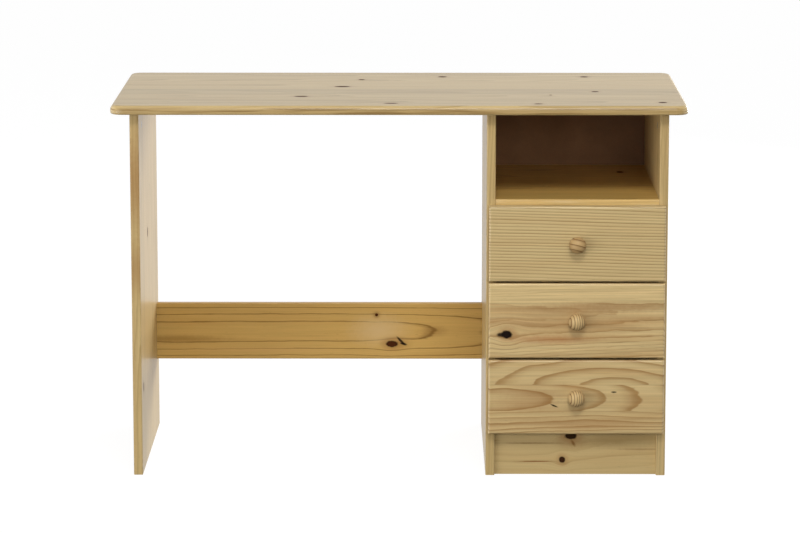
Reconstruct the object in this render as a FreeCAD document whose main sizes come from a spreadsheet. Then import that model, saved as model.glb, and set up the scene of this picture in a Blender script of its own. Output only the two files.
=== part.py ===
import FreeCAD, Part
import math
import os
import re

import Sketcher

# A pine kneehole desk: an overhanging top on one leg panel and one drawer pedestal, with a rear rail.
# Millimetres, +Z up, and the drawers open towards -Y. The origin is on the floor, midway between
# the ends of the top and midway between the tips of the knobs and the back edge of the top.

SIZES = {
    # The top
    "desk_width": 1140,
    "desk_depth": 550,
    "desk_height": 750,
    "top_thickness": 18,
    "top_corner_radius": 25,
    "top_upper_round": 9,
    "top_lower_round": 4,
    # The three standing panels
    "panel_thickness": 18,
    "panel_round": 2.5,
    "side_overhang": 37,
    "front_overhang": 28,
    "back_overhang": 42,
    "pedestal_width": 360,
    # The rail behind the knees
    "rail_height": 120,
    "rail_thickness": 18,
    "rail_lift": 150,
    "rail_inset": 32,
    "rail_round": 2.5,
    # The boards between the pedestal's sides
    "compartment_height": 172,
    "shelf_thickness": 18,
    "shelf_setback": 3,
    "shelf_round": 1.5,
    "base_thickness": 18,
    "plinth_thickness": 18,
    "plinth_setback": 10,
    "plinth_lap": 10,
    "back_thickness": 3,
    "back_groove_depth": 6,
    "back_groove_inset": 6,
    "board_fit": 0.2,
    # The drawer fronts
    "front_lift": 88,
    "front_lap": 7,
    "front_spacing": 4,
    "front_reveal": 5,
    "front_thickness": 18,
    "front_round": 4,
    "front_gap": 0.5,
    # The drawer boxes
    "drawer_side_thickness": 12,
    "drawer_side_gap": 3,
    "drawer_side_round": 2,
    "drawer_back_thickness": 12,
    "drawer_bottom_thickness": 3,
    "drawer_bottom_lift": 8,
    "drawer_groove_depth": 5,
    "drawer_foot_margin": 18,
    "drawer_head_margin": 23,
    "drawer_back_room": 30,
    # The strips that the drawers hang on
    "runner_height": 16,
    "runner_thickness": 10,
    "runner_front_inset": 30,
    "runner_back_inset": 40,
    "runner_fit": 0.3,
    "runner_play": 0.7,
    "groove_play": 0.5,
    # The turned knobs
    "knob_diameter": 33,
    "knob_length": 28,
    "knob_foot_diameter": 19,
    "knob_foot_height": 3,
    "knob_rim_radius": 3,
    "knob_rim_height": 4,
    "knob_shoulder_radius": 9,
    # The fasteners
    "hole_fit": 0.1,
    "hole_end_room": 0.5,
    "dowel_diameter": 8,
    "dowel_length": 35,
    "dowel_face_depth": 11,
    "thin_dowel_diameter": 6,
    "thin_dowel_length": 25,
    "thin_dowel_face_depth": 8,
    "dowel_chamfer": 0.8,
    "cam_diameter": 15,
    "cam_back_wall": 4.5,
    "cam_distance": 34,
    "cam_bore_diameter": 8,
    "cam_slot_length": 10,
    "cam_slot_width": 2,
    "cam_slot_depth": 1.5,
    "bolt_diameter": 6,
    "bolt_face_depth": 11,
    "bolt_neck_diameter": 4,
    "bolt_head_diameter": 7,
    "bolt_head_length": 3,
    "screw_diameter": 3.5,
    "screw_length": 20,
    "screw_head_diameter": 7,
    "screw_tip_length": 4,
    "screw_tip_diameter": 1,
    "knob_screw_diameter": 4,
    "knob_screw_grip": 14,
    "knob_screw_head_diameter": 8,
    "knob_screw_head_height": 2.5,
    "nail_diameter": 1.6,
    "nail_length": 20,
    "nail_head_diameter": 4,
    "nail_head_height": 0.8,
    # Where the fasteners sit, measured from the edges of the boards
    "top_dowel_inset": 45,
    "top_cam_inset": 80,
    "rail_dowel_inset": 25,
    "shelf_dowel_inset": 35,
    "shelf_cam_inset": 70,
    "plinth_dowel_inset": 25,
    "drawer_dowel_low_inset": 24,
    "drawer_dowel_high_inset": 20,
    "runner_screw_inset": 45,
    "nail_inset": 40,
}

WORKED_OUT = {
    # Across the desk
    "leg_left": "side_overhang - desk_width / 2",
    "leg_inner": "leg_left + panel_thickness",
    "pedestal_right": "desk_width / 2 - side_overhang",
    "pedestal_left": "pedestal_right - pedestal_width",
    "bay_left": "pedestal_left + panel_thickness",
    "bay_right": "pedestal_right - panel_thickness",
    "bay_width": "pedestal_width - 2 * panel_thickness",
    # Front to back
    "knob_reach": "max(front_gap + front_thickness + knob_length - front_overhang; 0)",
    "desk_front": "(knob_reach - desk_depth) / 2",
    "panel_front": "desk_front + front_overhang",
    "panel_depth": "desk_depth - front_overhang - back_overhang",
    "panel_back": "panel_front + panel_depth",
    "back_groove_width": "back_thickness + 2 * board_fit",
    "back_groove_front": "panel_back - back_groove_inset - back_groove_width",
    "back_face": "back_groove_front + board_fit",
    "shelf_front": "panel_front + shelf_setback",
    "plinth_front": "panel_front + plinth_setback",
    "base_front": "plinth_front + plinth_thickness",
    "rail_front": "panel_back - rail_inset - rail_thickness",
    # Upwards
    "panel_height": "desk_height - top_thickness",
    "shelf_base": "panel_height - compartment_height - shelf_thickness",
    "stack_top": "shelf_base + front_lap",
    "front_height": "(stack_top - front_lift - 2 * front_spacing) / 3",
    "plinth_height": "front_lift + plinth_lap",
    "base_lift": "plinth_height - base_thickness",
    # The drawers, from their lower edge
    "front_left": "pedestal_left + front_reveal",
    "front_width": "pedestal_width - 2 * front_reveal",
    "front_back": "panel_front - front_gap",
    "front_face": "front_back - front_thickness",
    "knob_across": "front_left + front_width / 2",
    "box_left": "bay_left + drawer_side_gap",
    "box_right": "bay_right - drawer_side_gap",
    "box_inner_left": "box_left + drawer_side_thickness",
    "box_inner_right": "box_right - drawer_side_thickness",
    "box_inner_width": "box_inner_right - box_inner_left",
    "box_back": "back_face - drawer_back_room",
    "box_length": "box_back - front_back",
    "box_height": "front_height - drawer_foot_margin - drawer_head_margin",
    "bottom_groove_height": "drawer_bottom_thickness + 2 * board_fit",
    "bottom_tongue": "drawer_groove_depth - board_fit",
    "drawer_back_lift": "drawer_bottom_lift + bottom_groove_height",
    "runner_groove_height": "runner_height + runner_fit + runner_play",
    "runner_groove_depth": "runner_thickness - drawer_side_gap + groove_play",
    "runner_groove_lift": "(box_height - runner_groove_height) / 2",
    "runner_length": "panel_depth - runner_front_inset - runner_back_inset",
    # The fasteners
    "panel_cam_height": "panel_thickness - cam_back_wall",
    "rail_cam_height": "rail_thickness - cam_back_wall",
    "shelf_cam_height": "shelf_thickness - cam_back_wall",
    "base_cam_height": "base_thickness - cam_back_wall",
}

DRAWERS = ("upper", "middle", "lower")
CAM_BOARDS = ("panel", "rail", "shelf", "base")

# For each direction of drilling: the plane that it is square to, and that plane's own two directions.
PLANES = {
    "x": ("YZ_Plane", "y", "z"),
    "y": ("XZ_Plane", "x", "z"),
    "z": ("XY_Plane", "x", "y"),
}
OPPOSITE = {"-": "+", "+": "-"}
# How close an edge lies to a side that it is on, the first guess for a length that a formula then
# sets, and the slope in degrees of a countersunk head.
NEAR = 0.01
START = 10
HEAD_SLOPE = 45

# How a piece drawn along its own Z axis is turned to point along a direction of the desk.
X_AXIS = FreeCAD.Vector(1, 0, 0)
Y_AXIS = FreeCAD.Vector(0, 1, 0)
Z_AXIS = FreeCAD.Vector(0, 0, 1)
TURNS = {
    "+z": FreeCAD.Rotation(Z_AXIS, 0),
    "+x": FreeCAD.Rotation(Y_AXIS, 90),
    "-x": FreeCAD.Rotation(Y_AXIS, -90),
    "-y": FreeCAD.Rotation(X_AXIS, 90),
}
HALF_TURN = FreeCAD.Rotation(Z_AXIS, 180)

doc = FreeCAD.newDocument("KneeholeDesk")
sheet = doc.addObject("Spreadsheet::Sheet", "Sizes")
for row, (alias, number) in enumerate(SIZES.items(), start=1):
    sheet.set(f"A{row}", alias)
    sheet.set(f"B{row}", str(number))
    sheet.setAlias(f"B{row}", alias)
doc.recompute()

pieces = []


def size(alias):
    """The number in one cell of the sheet."""
    return float(sheet.get(alias))


def formula(text):
    """Write a formula's plain words as references to the sheet."""
    def refer(match):
        word = match.group(0)
        if word in WORKED_OUT:
            return "(" + formula(WORKED_OUT[word]) + ")"
        if word in SIZES:
            return "Sizes." + word
        return word
    return re.sub(r"[a-z][a-z_]*", refer, text)


def bind(thing, prop, text):
    thing.setExpression(prop, formula(text))


def new_body(label):
    body = doc.addObject("PartDesign::Body", label)
    body.Label = label
    return body


def new_sketch(body, role, name, offset="0"):
    """A sketch on one of the body's own planes, moved along that plane's normal."""
    sketch = body.newObject("Sketcher::SketchObject", name)
    plane = next(feature for feature in body.Origin.OriginFeatures if feature.Role == role)
    sketch.AttachmentSupport = (plane, [""])
    sketch.MapMode = "FlatFace"
    bind(sketch, "AttachmentOffset.Base.z", offset)
    return sketch


def place_point(sketch, geometry, vertex, across, up):
    """Tie one point of a sketch to formulas for its distances from the sketch's origin."""
    for kind, axis, text in (("DistanceX", -2, across), ("DistanceY", -1, up)):
        if text == "0":
            sketch.addConstraint(Sketcher.Constraint("PointOnObject", geometry, vertex, axis))
        else:
            tie = sketch.addConstraint(Sketcher.Constraint(kind, -1, 1, geometry, vertex, START))
            bind(sketch, f"Constraints[{tie}]", text)


def draw_polygon(sketch, corners):
    """A closed outline of straight lines, with every corner tied to its two formulas."""
    count = len(corners)
    around = [2 * math.pi * corner / count for corner in range(count)]
    spots = [FreeCAD.Vector(START * math.cos(turn), START * math.sin(turn), 0) for turn in around]
    for corner in range(count):
        sketch.addGeometry(Part.LineSegment(spots[corner], spots[(corner + 1) % count]), False)
    for corner in range(count):
        following = (corner + 1) % count
        sketch.addConstraint(Sketcher.Constraint("Coincident", corner, 2, following, 1))
    for corner, (across, up) in enumerate(corners):
        place_point(sketch, corner, 1, across, up)


def draw_rectangle(sketch, left, low, right, high):
    draw_polygon(sketch, [(left, low), (right, low), (right, high), (left, high)])


def draw_circles(sketch, centres, diameter):
    for across, up in centres:
        circle = Part.Circle(FreeCAD.Vector(START, START, 0), Z_AXIS, START)
        drawn = sketch.addGeometry(circle, False)
        width = sketch.addConstraint(Sketcher.Constraint("Diameter", drawn, START))
        bind(sketch, f"Constraints[{width}]", diameter)
        place_point(sketch, drawn, 3, across, up)


def pad(body, sketch, length, reverse=False):
    feature = body.newObject("PartDesign::Pad", "Pad")
    feature.Profile = sketch
    feature.Reversed = reverse
    bind(feature, "Length", length)
    return feature


def pocket(body, sketch, depth, reverse=False):
    feature = body.newObject("PartDesign::Pocket", "Pocket")
    feature.Profile = sketch
    feature.Reversed = reverse
    bind(feature, "Length", depth)
    return feature


def revolve(body, sketch):
    feature = body.newObject("PartDesign::Revolution", "Turning")
    feature.Profile = sketch
    feature.ReferenceAxis = (sketch, ["V_Axis"])
    feature.Angle = 360
    return feature


def limits(box, axis):
    return getattr(box, axis.upper() + "Min"), getattr(box, axis.upper() + "Max")


def lies_on(edge, whole, side):
    """Whether an edge lies on one side of a box, such as z+ for the top."""
    place = limits(whole, side[0])[side[1] == "+"]
    return all(abs(end - place) < NEAR for end in limits(edge.BoundBox, side[0]))


def runs_along(edge, axis):
    low, high = limits(edge.BoundBox, axis)
    return abs(high - low - edge.Length) < NEAR


class Board:
    """A board cut from one rectangle, with its lowest corner at a place on the desk."""

    def __init__(self, label, corner, extent, thin):
        self.corner = dict(zip("xyz", corner))
        self.extent = dict(zip("xyz", extent))
        self.body = new_body(label)
        for axis in "xyz":
            bind(self.body, f"Placement.Base.{axis}", self.corner[axis])
        role, across, up = PLANES[thin]
        outline = new_sketch(self.body, role, "Outline")
        draw_rectangle(outline, "0", "0", self.extent[across], self.extent[up])
        pad(self.body, outline, self.extent[thin], reverse=thin == "y")
        pieces.append(self.body)

    def local(self, axis, text):
        return f"({text}) - ({self.corner[axis]})"

    def sketch_on(self, side, name):
        """A sketch on one side of the board; the plane square to Y looks towards the front."""
        axis, end = side
        far = self.extent[axis] if axis != "y" else f"-({self.extent[axis]})"
        return new_sketch(self.body, PLANES[axis][0], name, far if end == "+" else "0")

    def cut(self, sketch, side, depth):
        pocket(self.body, sketch, depth, reverse=side in ("x-", "z-", "y+"))

    def drill(self, side, spots, diameter, depth):
        """Round holes from one side of the board at places given on the desk."""
        across, up = PLANES[side[0]][1:]
        sketch = self.sketch_on(side, "Holes")
        centres = [(self.local(across, spot[across]), self.local(up, spot[up])) for spot in spots]
        draw_circles(sketch, centres, diameter)
        self.cut(sketch, side, depth)

    def groove(self, side, start, end, depth):
        """A straight groove in one side, between two corners given on the desk."""
        across, up = PLANES[side[0]][1:]
        sketch = self.sketch_on(side, "Groove")
        corners = [self.local(axis, spot[axis]) for spot in (start, end) for axis in (across, up)]
        draw_rectangle(sketch, *corners)
        self.cut(sketch, side, depth)

    def round_off(self, radius, along=None, on=None):
        """Round the edges that run along an axis, lie on a side, or both."""
        doc.recompute()
        tip = self.body.Tip
        whole = tip.Shape.BoundBox
        chosen = []
        for number, edge in enumerate(tip.Shape.Edges, start=1):
            fits_axis = along is None or runs_along(edge, along)
            fits_side = on is None or lies_on(edge, whole, on)
            if fits_axis and fits_side:
                chosen.append(f"Edge{number}")
        fillet = self.body.newObject("PartDesign::Fillet", "Round")
        fillet.Base = (tip, chosen)
        bind(fillet, "Radius", radius)


class Fastener:
    """One kind of fastener, with the holes that it needs in a board's face and in a board's end."""

    def __init__(self, body, diameter, face_depth, end_diameter, end_depth):
        self.body = body
        self.face_hole = (f"{diameter} + 2 * hole_fit", f"{face_depth} + hole_end_room")
        self.end_hole = (f"{end_diameter} + 2 * hole_fit", f"{end_depth} + hole_end_room")


def at(x, y, z):
    return {"x": x, "y": y, "z": z}


def join(fastener, face_board, side, end_board, spots):
    """Drill a face and the end that meets it, and say where the fasteners go and which way they point."""
    axis, end = side
    face_board.drill(side, spots, *fastener.face_hole)
    end_board.drill(axis + OPPOSITE[end], spots, *fastener.end_hole)
    return [(spot, TURNS[OPPOSITE[end] + axis]) for spot in spots]


def gather(label, body, places):
    """A group of separate copies of one fastener."""
    copies = []
    for spot, turn in places:
        copy = doc.addObject("App::Link", label + "_copy")
        copy.LinkedObject = body
        copy.LinkTransform = False
        copy.Placement = FreeCAD.Placement(FreeCAD.Vector(), turn)
        for axis in "xyz":
            bind(copy, f"Placement.Base.{axis}", spot[axis])
        copies.append(copy)
    group = doc.addObject("Part::Compound", label)
    group.Label = label
    group.Links = copies
    pieces.append(group)


def turned_body(label, outline):
    """A body turned about its Z axis from an outline of radius and height formulas."""
    body = new_body(label)
    sketch = new_sketch(body, "XZ_Plane", "Profile")
    draw_polygon(sketch, outline)
    revolve(body, sketch)
    return body


def make_dowel(label, diameter, length, face_depth):
    """A round peg with chamfered ends; height 0 is the plane where the two boards meet."""
    low = f"{face_depth} - {length}"
    outline = [
        ("0", low),
        (f"{diameter} / 2 - dowel_chamfer", low),
        (f"{diameter} / 2", f"{low} + dowel_chamfer"),
        (f"{diameter} / 2", f"{face_depth} - dowel_chamfer"),
        (f"{diameter} / 2 - dowel_chamfer", face_depth),
        ("0", face_depth),
    ]
    body = turned_body(label, outline)
    return Fastener(body, diameter, face_depth, diameter, f"{length} - {face_depth}")


def make_cam_bolt():
    """A headed bolt that stands in one board's face and is drawn in by the cam in the other board."""
    head_top = "bolt_head_length / 2 - cam_distance"
    head_low = "-bolt_head_length / 2 - cam_distance"
    neck_top = "3 * bolt_head_length / 2 - cam_distance"
    outline = [
        ("0", head_low),
        ("bolt_head_diameter / 2", head_low),
        ("bolt_head_diameter / 2", head_top),
        ("bolt_neck_diameter / 2", head_top),
        ("bolt_neck_diameter / 2", neck_top),
        ("bolt_diameter / 2", neck_top),
        ("bolt_diameter / 2", "bolt_face_depth"),
        ("0", "bolt_face_depth"),
    ]
    body = turned_body("cam_bolt_pattern", outline)
    return Fastener(body, "bolt_diameter", "bolt_face_depth", "cam_bore_diameter", "cam_distance")


def make_cam_lock(board_name):
    """A disc let into a board's face, bored from its rim for the bolt and slotted for a screwdriver."""
    body = new_body(f"{board_name}_cam_pattern")
    disc = new_sketch(body, "XY_Plane", "Disc")
    draw_circles(disc, [("0", "0")], "cam_diameter")
    pad(body, disc, f"{board_name}_cam_height")
    bore = new_sketch(body, "YZ_Plane", "Bore", "-cam_bore_diameter / 2")
    draw_circles(bore, [("0", f"{board_name}_thickness / 2")], "cam_bore_diameter")
    pocket(body, bore, "cam_diameter", reverse=True)
    slot = new_sketch(body, "XY_Plane", "Slot")
    half_length = "cam_slot_length / 2"
    half_width = "cam_slot_width / 2"
    draw_rectangle(slot, "-" + half_length, "-" + half_width, half_length, half_width)
    pocket(body, slot, "cam_slot_depth", reverse=True)
    return body


def make_screw():
    """A countersunk wood screw; height 0 is the top of its head and it points upwards."""
    outline = [
        ("0", "0"),
        ("screw_head_diameter / 2", "0"),
        ("screw_diameter / 2", "(screw_head_diameter - screw_diameter) / 2"),
        ("screw_diameter / 2", "screw_length - screw_tip_length"),
        ("screw_tip_diameter / 2", "screw_length"),
        ("0", "screw_length"),
    ]
    return turned_body("runner_screw_pattern", outline)


def make_nail():
    """A round nail; height 0 is under its head and it points upwards."""
    outline = [
        ("0", "-nail_head_height"),
        ("nail_head_diameter / 2", "-nail_head_height"),
        ("nail_head_diameter / 2", "0"),
        ("nail_diameter / 2", "0"),
        ("nail_diameter / 2", "nail_length"),
        ("0", "nail_length"),
    ]
    return turned_body("nail_pattern", outline)


def seat_cams(board, side, body, height, spots, turns):
    """Drill a board's face for cams and say where they go, each bore turned towards its bolt."""
    board.drill(side, spots, "cam_diameter + 2 * hole_fit", height)
    axis, end = side
    facing = TURNS[OPPOSITE[end] + axis]
    return [(spot, facing.multiply(turn)) for spot, turn in zip(spots, turns)]


def make_top():
    """The top: round corners in plan, a full round above the edge and a small one below it."""
    top = Board(
        "desk_top",
        ("-desk_width / 2", "desk_front", "panel_height"),
        ("desk_width", "desk_depth", "top_thickness"),
        "z",
    )
    top.round_off("top_corner_radius", along="z")
    top.round_off("top_upper_round", on="z+")
    top.round_off("top_lower_round", on="z-")
    return top


def make_panel(label, left):
    """A standing panel with its four upright edges eased."""
    panel = Board(
        label,
        (left, "panel_front", "0"),
        ("panel_thickness", "panel_depth", "panel_height"),
        "x",
    )
    panel.round_off("panel_round", along="z")
    return panel


def make_rail():
    rail = Board(
        "rear_rail",
        ("leg_inner", "rail_front", "rail_lift"),
        ("pedestal_left - leg_inner", "rail_thickness", "rail_height"),
        "y",
    )
    rail.round_off("rail_round", along="x")
    return rail


def make_shelf():
    shelf = Board(
        "compartment_shelf",
        ("bay_left", "shelf_front", "shelf_base"),
        ("bay_width", "back_face - shelf_front", "shelf_thickness"),
        "z",
    )
    shelf.round_off("shelf_round", along="x", on="y-")
    return shelf


def make_base():
    return Board(
        "pedestal_base",
        ("bay_left", "base_front", "base_lift"),
        ("bay_width", "back_face - base_front", "base_thickness"),
        "z",
    )


def make_plinth():
    return Board(
        "plinth_board",
        ("bay_left", "plinth_front", "0"),
        ("bay_width", "plinth_thickness", "plinth_height"),
        "y",
    )


def make_back():
    """A thin sheet that slides down grooves in the pedestal's sides."""
    tongue = "(back_groove_depth - board_fit)"
    return Board(
        "back_panel",
        (f"bay_left - {tongue}", "back_face", "base_lift"),
        (f"bay_width + 2 * {tongue}", "back_thickness", "panel_height - base_lift"),
        "y",
    )


def groove_for_back(panel, side, inner):
    start = at(inner, "back_groove_front", "0")
    end = at(inner, "back_groove_front + back_groove_width", "panel_height")
    panel.groove(side, start, end, "back_groove_depth")


def fasten_top(top, panels):
    """Two dowels and two cams in the upper end of each panel."""
    dowels = []
    bolts = []
    cams = []
    for panel, side in panels:
        middle = f"{panel.corner['x']} + panel_thickness / 2"
        face = panel.corner["x"] if side == "x-" else f"{panel.corner['x']} + panel_thickness"
        dowel_rows = ("panel_front + top_dowel_inset", "panel_back - top_dowel_inset")
        cam_rows = ("panel_front + top_cam_inset", "panel_back - top_cam_inset")
        dowel_spots = [at(middle, row, "panel_height") for row in dowel_rows]
        bolt_spots = [at(middle, row, "panel_height") for row in cam_rows]
        cam_spots = [at(face, row, "panel_height - cam_distance") for row in cam_rows]
        turn = HALF_TURN if side == "x-" else TURNS["+z"]
        dowels += join(dowel, top, "z-", panel, dowel_spots)
        bolts += join(cam_bolt, top, "z-", panel, bolt_spots)
        cams += seat_cams(panel, side, panel_cam, "panel_cam_height", cam_spots, [turn, turn])
    gather("top_dowels", dowel.body, dowels)
    gather("top_cam_bolts", cam_bolt.body, bolts)
    gather("top_cam_locks", panel_cam, cams)


def fasten_rail(rail, leg, pedestal_side):
    """Two dowels and one cam in each end of the rail, with the cams on its hidden face."""
    depth = "rail_front + rail_thickness / 2"
    middle = "rail_lift + rail_height / 2"
    levels = ("rail_lift + rail_dowel_inset", "rail_lift + rail_height - rail_dowel_inset")
    dowels = []
    bolts = []
    for board, side, end in ((leg, "x+", "leg_inner"), (pedestal_side, "x-", "pedestal_left")):
        dowels += join(dowel, board, side, rail, [at(end, depth, level) for level in levels])
        bolts += join(cam_bolt, board, side, rail, [at(end, depth, middle)])
    cam_columns = ("leg_inner + cam_distance", "pedestal_left - cam_distance")
    back = "rail_front + rail_thickness"
    cam_spots = [at(column, back, middle) for column in cam_columns]
    turns = [HALF_TURN, TURNS["+z"]]
    cams = seat_cams(rail, "y+", rail_cam, "rail_cam_height", cam_spots, turns)
    gather("rail_dowels", dowel.body, dowels)
    gather("rail_cam_bolts", cam_bolt.body, bolts)
    gather("rail_cam_locks", rail_cam, cams)


def fasten_pedestal(left_side, right_side, shelf, base, plinth):
    """Dowels and cams in the ends of the shelf and the base, and dowels in the ends of the plinth."""
    dowels = []
    bolts = []
    shelf_cams = []
    base_cams = []
    ends = ((left_side, "x+", "bay_left"), (right_side, "x-", "bay_right"))
    columns = ("bay_left + cam_distance", "bay_right - cam_distance")
    boards = (
        (shelf, "shelf", "shelf_base", shelf_cam, shelf_cams),
        (base, "base", "base_lift", base_cam, base_cams),
    )
    for board, name, low, cam, cams in boards:
        level = f"{low} + {name}_thickness / 2"
        dowel_rows = (f"{name}_front + shelf_dowel_inset", "back_face - shelf_dowel_inset")
        cam_rows = (f"{name}_front + shelf_cam_inset", "back_face - shelf_cam_inset")
        for side_board, side, end in ends:
            dowels += join(dowel, side_board, side, board, [at(end, row, level) for row in dowel_rows])
            bolts += join(cam_bolt, side_board, side, board, [at(end, row, level) for row in cam_rows])
        spots = [at(column, row, low) for column in columns for row in cam_rows]
        turns = [HALF_TURN, HALF_TURN, TURNS["+z"], TURNS["+z"]]
        cams += seat_cams(board, "z-", cam, f"{name}_cam_height", spots, turns)
    depth = "plinth_front + plinth_thickness / 2"
    levels = ("plinth_dowel_inset", "plinth_height - plinth_dowel_inset")
    for side_board, side, end in ends:
        dowels += join(dowel, side_board, side, plinth, [at(end, depth, level) for level in levels])
    gather("pedestal_dowels", dowel.body, dowels)
    gather("pedestal_cam_bolts", cam_bolt.body, bolts)
    gather("shelf_cam_locks", shelf_cam, shelf_cams)
    gather("base_cam_locks", base_cam, base_cams)


def nail_back(back, shelf, base):
    """Three nails through the back into the shelf and three into the base."""
    columns = ("bay_left + nail_inset", "(bay_left + bay_right) / 2", "bay_right - nail_inset")
    width = "nail_diameter + 2 * hole_fit"
    outside = "back_face + back_thickness"
    nails = []
    boards = ((shelf, "shelf_base + shelf_thickness / 2"), (base, "base_lift + base_thickness / 2"))
    for board, level in boards:
        spots = [at(column, outside, level) for column in columns]
        back.drill("y+", spots, width, "back_thickness")
        board.drill("y+", spots, width, "nail_length - back_thickness + hole_end_room")
        nails += [(spot, TURNS["-y"]) for spot in spots]
    gather("back_panel_nails", make_nail(), nails)


def drawer_low(number):
    """The lower edge of a drawer front, counted down from the upper one."""
    return f"(stack_top - {number + 1} * front_height - {number} * front_spacing)"


def make_runner(name, hand, number, panel):
    """A strip screwed to a pedestal side, with its screws' holes; returns where the screws go."""
    low = f"{drawer_low(number)} + drawer_foot_margin + runner_groove_lift + runner_play"
    left = "bay_left" if hand == "left" else "bay_right - runner_thickness"
    front = "panel_front + runner_front_inset"
    runner = Board(
        f"{name}_runner_{hand}",
        (left, front, low),
        ("runner_thickness", "runner_length", "runner_height"),
        "x",
    )
    inner = "bay_left + runner_thickness" if hand == "left" else "bay_right - runner_thickness"
    side = "x+" if hand == "left" else "x-"
    rows = (
        f"{front} + runner_screw_inset",
        f"{front} + runner_length - runner_screw_inset",
    )
    spots = [at(inner, row, f"{low} + runner_height / 2") for row in rows]
    shank = "screw_diameter + 2 * hole_fit"
    runner.drill(side, spots, shank, "runner_thickness")
    for spot in spots:
        countersink(runner, side, spot)
    panel.drill(side, spots, shank, "screw_length - runner_thickness + hole_end_room")
    axis, end = side
    return [(spot, TURNS[OPPOSITE[end] + axis]) for spot in spots]


def countersink(board, side, spot):
    """A cone cut for a screw's head, with the slope of the head."""
    doc.recompute()
    sketch = board.sketch_on(side, "Countersink")
    across, up = PLANES[side[0]][1:]
    centre = (board.local(across, spot[across]), board.local(up, spot[up]))
    draw_circles(sketch, [centre], "screw_head_diameter + 2 * hole_fit")
    board.cut(sketch, side, "(screw_head_diameter - screw_diameter) / 2")
    board.body.Tip.TaperAngle = -HEAD_SLOPE


def make_front(name, low):
    """An overlay drawer front, rounded all round its face and grooved behind for the bottom."""
    front = Board(
        f"{name}_drawer_front",
        ("front_left", "front_face", low),
        ("front_width", "front_thickness", "front_height"),
        "y",
    )
    front.round_off("front_round", on="y-")
    groove_low = f"{low} + drawer_foot_margin + drawer_bottom_lift"
    start = at("box_inner_left - drawer_groove_depth", "front_back", groove_low)
    end = at("box_inner_right + drawer_groove_depth", "front_back", f"{groove_low} + bottom_groove_height")
    front.groove("y+", start, end, "drawer_groove_depth")
    return front


def make_drawer_side(name, hand, box_low):
    """A drawer side, grooved outside for its runner and inside for the bottom."""
    left = "box_left" if hand == "left" else "box_inner_right"
    outside, inside = ("x-", "x+") if hand == "left" else ("x+", "x-")
    board = Board(
        f"{name}_drawer_{hand}_side",
        (left, "front_back", box_low),
        ("drawer_side_thickness", "box_length", "box_height"),
        "x",
    )
    board.round_off("drawer_side_round", along="y", on="z+")
    grooves = (
        (outside, "runner_groove_lift", "runner_groove_height", "runner_groove_depth"),
        (inside, "drawer_bottom_lift", "bottom_groove_height", "drawer_groove_depth"),
    )
    for side, lift, height, depth in grooves:
        start = at(left, "front_back", f"{box_low} + {lift}")
        end = at(left, "front_back + box_length", f"{box_low} + {lift} + {height}")
        board.groove(side, start, end, depth)
    return board


def make_drawer_back(name, box_low):
    return Board(
        f"{name}_drawer_back",
        ("box_inner_left", "box_back - drawer_back_thickness", f"{box_low} + drawer_back_lift"),
        ("box_inner_width", "drawer_back_thickness", "box_height - drawer_back_lift"),
        "y",
    )


def make_drawer_bottom(name, box_low):
    return Board(
        f"{name}_drawer_bottom",
        (
            "box_inner_left - bottom_tongue",
            "front_back - bottom_tongue",
            f"{box_low} + drawer_bottom_lift + board_fit",
        ),
        (
            "box_inner_width + 2 * bottom_tongue",
            "box_length + bottom_tongue",
            "drawer_bottom_thickness",
        ),
        "z",
    )


def fasten_drawer(name, front, left_side, right_side, back, box_low):
    """Dowels from the sides into the front, and from the back into the sides."""
    levels = (
        f"{box_low} + drawer_dowel_low_inset",
        f"{box_low} + box_height - drawer_dowel_high_inset",
    )
    half = "drawer_side_thickness / 2"
    depth = "box_back - drawer_back_thickness / 2"
    sides = (
        (left_side, f"box_left + {half}", "x+", "box_inner_left"),
        (right_side, f"box_right - {half}", "x-", "box_inner_right"),
    )
    dowels = []
    for side_board, middle, inside, inner in sides:
        front_spots = [at(middle, "front_back", level) for level in levels]
        back_spots = [at(inner, depth, level) for level in levels]
        dowels += join(thin_dowel, front, "y+", side_board, front_spots)
        dowels += join(thin_dowel, side_board, inside, back, back_spots)
    gather(f"{name}_drawer_dowels", thin_dowel.body, dowels)


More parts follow.
